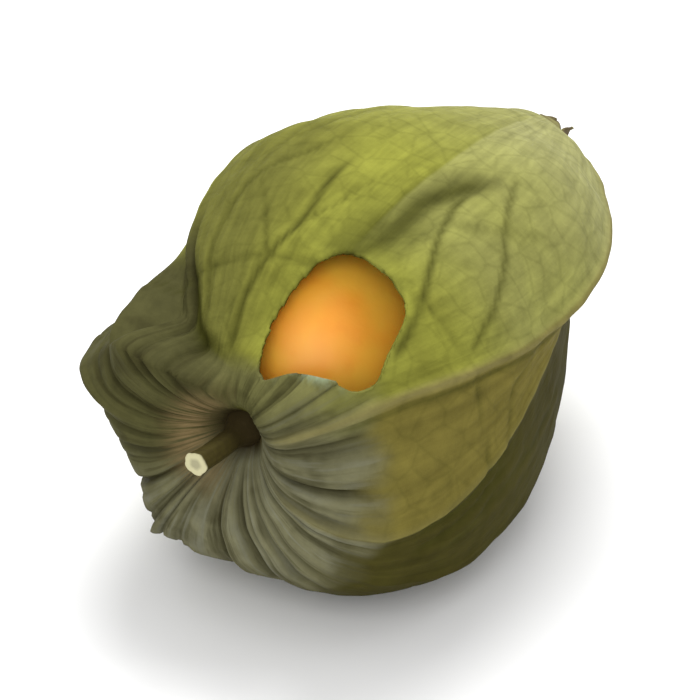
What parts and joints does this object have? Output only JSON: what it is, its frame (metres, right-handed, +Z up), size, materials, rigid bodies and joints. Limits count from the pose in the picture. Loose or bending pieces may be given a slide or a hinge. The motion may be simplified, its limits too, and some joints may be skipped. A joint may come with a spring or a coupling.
{
  "type": "physalis berry",
  "caption": "Round orange berry on a short cut stalk inside a thin, papery, ribbed green husk that is closed to a point and torn open beside the stalk.",
  "frame": {"origin": "middle of the bottom of the object's box, on the surface that the fruit lies on", "axes": "+Y along the fruit from the cut stalk to the husk's tip, +Z up as it lies"},
  "size_m": [0.0308, 0.0498, 0.0288],
  "materials": {
    "husk": "papery yellow-green, olive towards the stalk, matt with a faint sheen",
    "berry": "smooth waxy orange skin with a soft gloss",
    "stalk": "matt grey-green, pale at the cut end"
  },
  "bodies": {
    "root": {"husk": "husk", "berry": "berry", "stalk": "stalk"}
  },
  "joints": []
}
